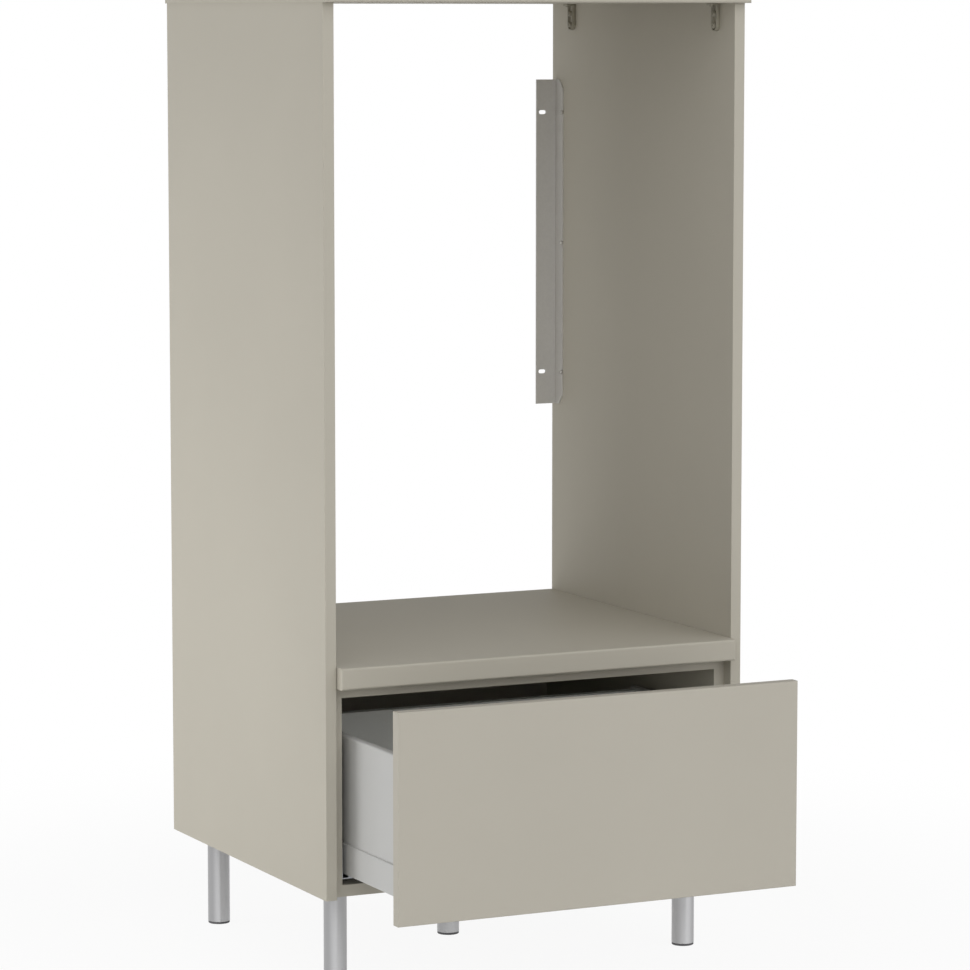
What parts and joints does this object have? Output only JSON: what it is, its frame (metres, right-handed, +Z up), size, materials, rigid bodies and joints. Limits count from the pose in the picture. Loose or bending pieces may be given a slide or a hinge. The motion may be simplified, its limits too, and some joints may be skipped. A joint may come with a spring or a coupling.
{
  "type": "washing machine cabinet",
  "caption": "Tall open cabinet on tube legs, with a thick shelf for a washing machine and a metal-sided drawer beneath it.",
  "frame": {"origin": "on the floor, on the axis of the centre leg", "axes": "+X to the cabinet's right seen from the front, +Y to the back, +Z up; the drawer opens towards -Y"},
  "size_m": [0.644, 0.7555, 1.373],
  "materials": {
    "board": "coated particle board, satin, warm grey-beige",
    "drawer_front_board": "coated fibre board, satin, warm grey-beige",
    "back_board": "thin coated fibre board, matte",
    "drawer_board": "coated board, matte, light grey",
    "drawer_metal": "powder-coated steel sheet, light grey, satin",
    "rail_steel": "zinc-grey coated steel angle, satin",
    "runner_steel": "zinc-plated steel sheet",
    "screw_steel": "zinc-plated steel",
    "leg_metal": "satin anodised tube",
    "foot_plastic": "moulded grey plastic",
    "roller_plastic": "moulded pale plastic",
    "bracket_plastic": "moulded dark grey-brown plastic",
    "bumper_rubber": "soft grey rubber"
  },
  "bodies": {
    "cabinet": {"carcass_back_board": "back_board", "carcass_bottom_board": "board", "carcass_fixing_screws": "screw_steel", "carcass_screws": "screw_steel", "carcass_side_left": "board", "carcass_side_right": "board", "carcass_top_board": "board", "fitting_screws": "screw_steel", "leg_plates": "screw_steel", "leg_plugs": "foot_plastic", "leg_screws": "screw_steel", "leg_tube_back_left": "leg_metal", "leg_tube_back_right": "leg_metal", "leg_tube_centre": "leg_metal", "leg_tube_front_left": "leg_metal", "leg_tube_front_right": "leg_metal", "runner_bracket_left": "runner_steel", "runner_bracket_right": "runner_steel", "runner_cabinet_channel_left": "runner_steel", "runner_cabinet_channel_right": "runner_steel", "runner_screws": "screw_steel", "side_panel_left": "board", "side_panel_right": "board", "top_brackets": "bracket_plastic", "top_panel": "board", "wall_rail_left": "rail_steel", "wall_rail_right": "rail_steel", "washer_shelf": "board"},
    "drawer": {"back_holder_left": "drawer_metal", "back_holder_right": "drawer_metal", "drawer_back": "drawer_board", "drawer_bottom": "drawer_board", "drawer_front": "drawer_front_board", "drawer_screws": "screw_steel", "drawer_side_left": "drawer_metal", "drawer_side_right": "drawer_metal", "front_bumpers": "bumper_rubber", "front_holder_left": "runner_steel", "front_holder_right": "runner_steel", "runner_drawer_channel_left": "runner_steel", "runner_drawer_channel_right": "runner_steel"},
    "runner_middle_left": {"runner_beam_left": "runner_steel", "runner_pins_left": "screw_steel"},
    "roller_cabinet_back_left": {"roller_cabinet_back_left": "roller_plastic"},
    "roller_cabinet_front_left": {"roller_cabinet_front_left": "roller_plastic"},
    "roller_drawer_front_left": {"roller_drawer_front_left": "roller_plastic"},
    "roller_drawer_back_left": {"roller_drawer_back_left": "roller_plastic"},
    "runner_middle_right": {"runner_beam_right": "runner_steel", "runner_pins_right": "screw_steel"},
    "roller_cabinet_back_right": {"roller_cabinet_back_right": "roller_plastic"},
    "roller_cabinet_front_right": {"roller_cabinet_front_right": "roller_plastic"},
    "roller_drawer_front_right": {"roller_drawer_front_right": "roller_plastic"},
    "roller_drawer_back_right": {"roller_drawer_back_right": "roller_plastic"},
    "foot_front_left": {"leg_foot_front_left": "foot_plastic"},
    "foot_front_right": {"leg_foot_front_right": "foot_plastic"},
    "foot_back_left": {"leg_foot_back_left": "foot_plastic"},
    "foot_back_right": {"leg_foot_back_right": "foot_plastic"},
    "foot_centre": {"leg_foot_centre": "foot_plastic"}
  },
  "joints": [
    {"name": "drawer_slide", "type": "slide", "parent": "cabinet", "child": "drawer", "axis": [0, -1, 0], "range_m": [-0.1935, 0.2065]},
    {"name": "beam_left_slide", "type": "slide", "parent": "cabinet", "child": "runner_middle_left", "axis": [0, -1, 0], "range_m": [-0.097, 0.1035]},
    {"name": "roller_cabinet_back_left_spin", "type": "hinge", "parent": "runner_middle_left", "child": "roller_cabinet_back_left", "pos_m": [-0.2724, 0.00925, 0.172], "axis": [1, 0, 0], "continuous": true},
    {"name": "roller_cabinet_front_left_spin", "type": "hinge", "parent": "runner_middle_left", "child": "roller_cabinet_front_left", "pos_m": [-0.2724, -0.15325, 0.172], "axis": [1, 0, 0], "continuous": true},
    {"name": "roller_drawer_front_left_spin", "type": "hinge", "parent": "runner_middle_left", "child": "roller_drawer_front_left", "pos_m": [-0.2591, -0.34275, 0.1743], "axis": [1, 0, 0], "continuous": true},
    {"name": "roller_drawer_back_left_spin", "type": "hinge", "parent": "runner_middle_left", "child": "roller_drawer_back_left", "pos_m": [-0.2591, -0.18025, 0.1743], "axis": [1, 0, 0], "continuous": true},
    {"name": "beam_right_slide", "type": "slide", "parent": "cabinet", "child": "runner_middle_right", "axis": [0, -1, 0], "range_m": [-0.097, 0.1035]},
    {"name": "roller_cabinet_back_right_spin", "type": "hinge", "parent": "runner_middle_right", "child": "roller_cabinet_back_right", "pos_m": [0.2724, 0.00925, 0.172], "axis": [1, 0, 0], "continuous": true},
    {"name": "roller_cabinet_front_right_spin", "type": "hinge", "parent": "runner_middle_right", "child": "roller_cabinet_front_right", "pos_m": [0.2724, -0.15325, 0.172], "axis": [1, 0, 0], "continuous": true},
    {"name": "roller_drawer_front_right_spin", "type": "hinge", "parent": "runner_middle_right", "child": "roller_drawer_front_right", "pos_m": [0.2591, -0.34275, 0.1743], "axis": [1, 0, 0], "continuous": true},
    {"name": "roller_drawer_back_right_spin", "type": "hinge", "parent": "runner_middle_right", "child": "roller_drawer_back_right", "pos_m": [0.2591, -0.18025, 0.1743], "axis": [1, 0, 0], "continuous": true},
    {"name": "foot_front_left_screw", "type": "slide", "parent": "cabinet", "child": "foot_front_left", "axis": [0, 0, -1], "range_m": [0, 0.015]},
    {"name": "foot_front_right_screw", "type": "slide", "parent": "cabinet", "child": "foot_front_right", "axis": [0, 0, -1], "range_m": [0, 0.015]},
    {"name": "foot_back_left_screw", "type": "slide", "parent": "cabinet", "child": "foot_back_left", "axis": [0, 0, -1], "range_m": [0, 0.015]},
    {"name": "foot_back_right_screw", "type": "slide", "parent": "cabinet", "child": "foot_back_right", "axis": [0, 0, -1], "range_m": [0, 0.015]},
    {"name": "foot_centre_screw", "type": "slide", "parent": "cabinet", "child": "foot_centre", "axis": [0, 0, -1], "range_m": [0, 0.015]}
  ],
  "couplings": [
    {"joint": "beam_left_slide", "follows": "drawer_slide", "ratio": 0.5},
    {"joint": "roller_cabinet_back_left_spin", "follows": "drawer_slide", "rad_per_m": 41.667},
    {"joint": "roller_cabinet_front_left_spin", "follows": "drawer_slide", "rad_per_m": 41.667},
    {"joint": "roller_drawer_front_left_spin", "follows": "drawer_slide", "rad_per_m": 41.667},
    {"joint": "roller_drawer_back_left_spin", "follows": "drawer_slide", "rad_per_m": 41.667},
    {"joint": "beam_right_slide", "follows": "drawer_slide", "ratio": 0.5},
    {"joint": "roller_cabinet_back_right_spin", "follows": "drawer_slide", "rad_per_m": 41.667},
    {"joint": "roller_cabinet_front_right_spin", "follows": "drawer_slide", "rad_per_m": 41.667},
    {"joint": "roller_drawer_front_right_spin", "follows": "drawer_slide", "rad_per_m": 41.667},
    {"joint": "roller_drawer_back_right_spin", "follows": "drawer_slide", "rad_per_m": 41.667}
  ]
}
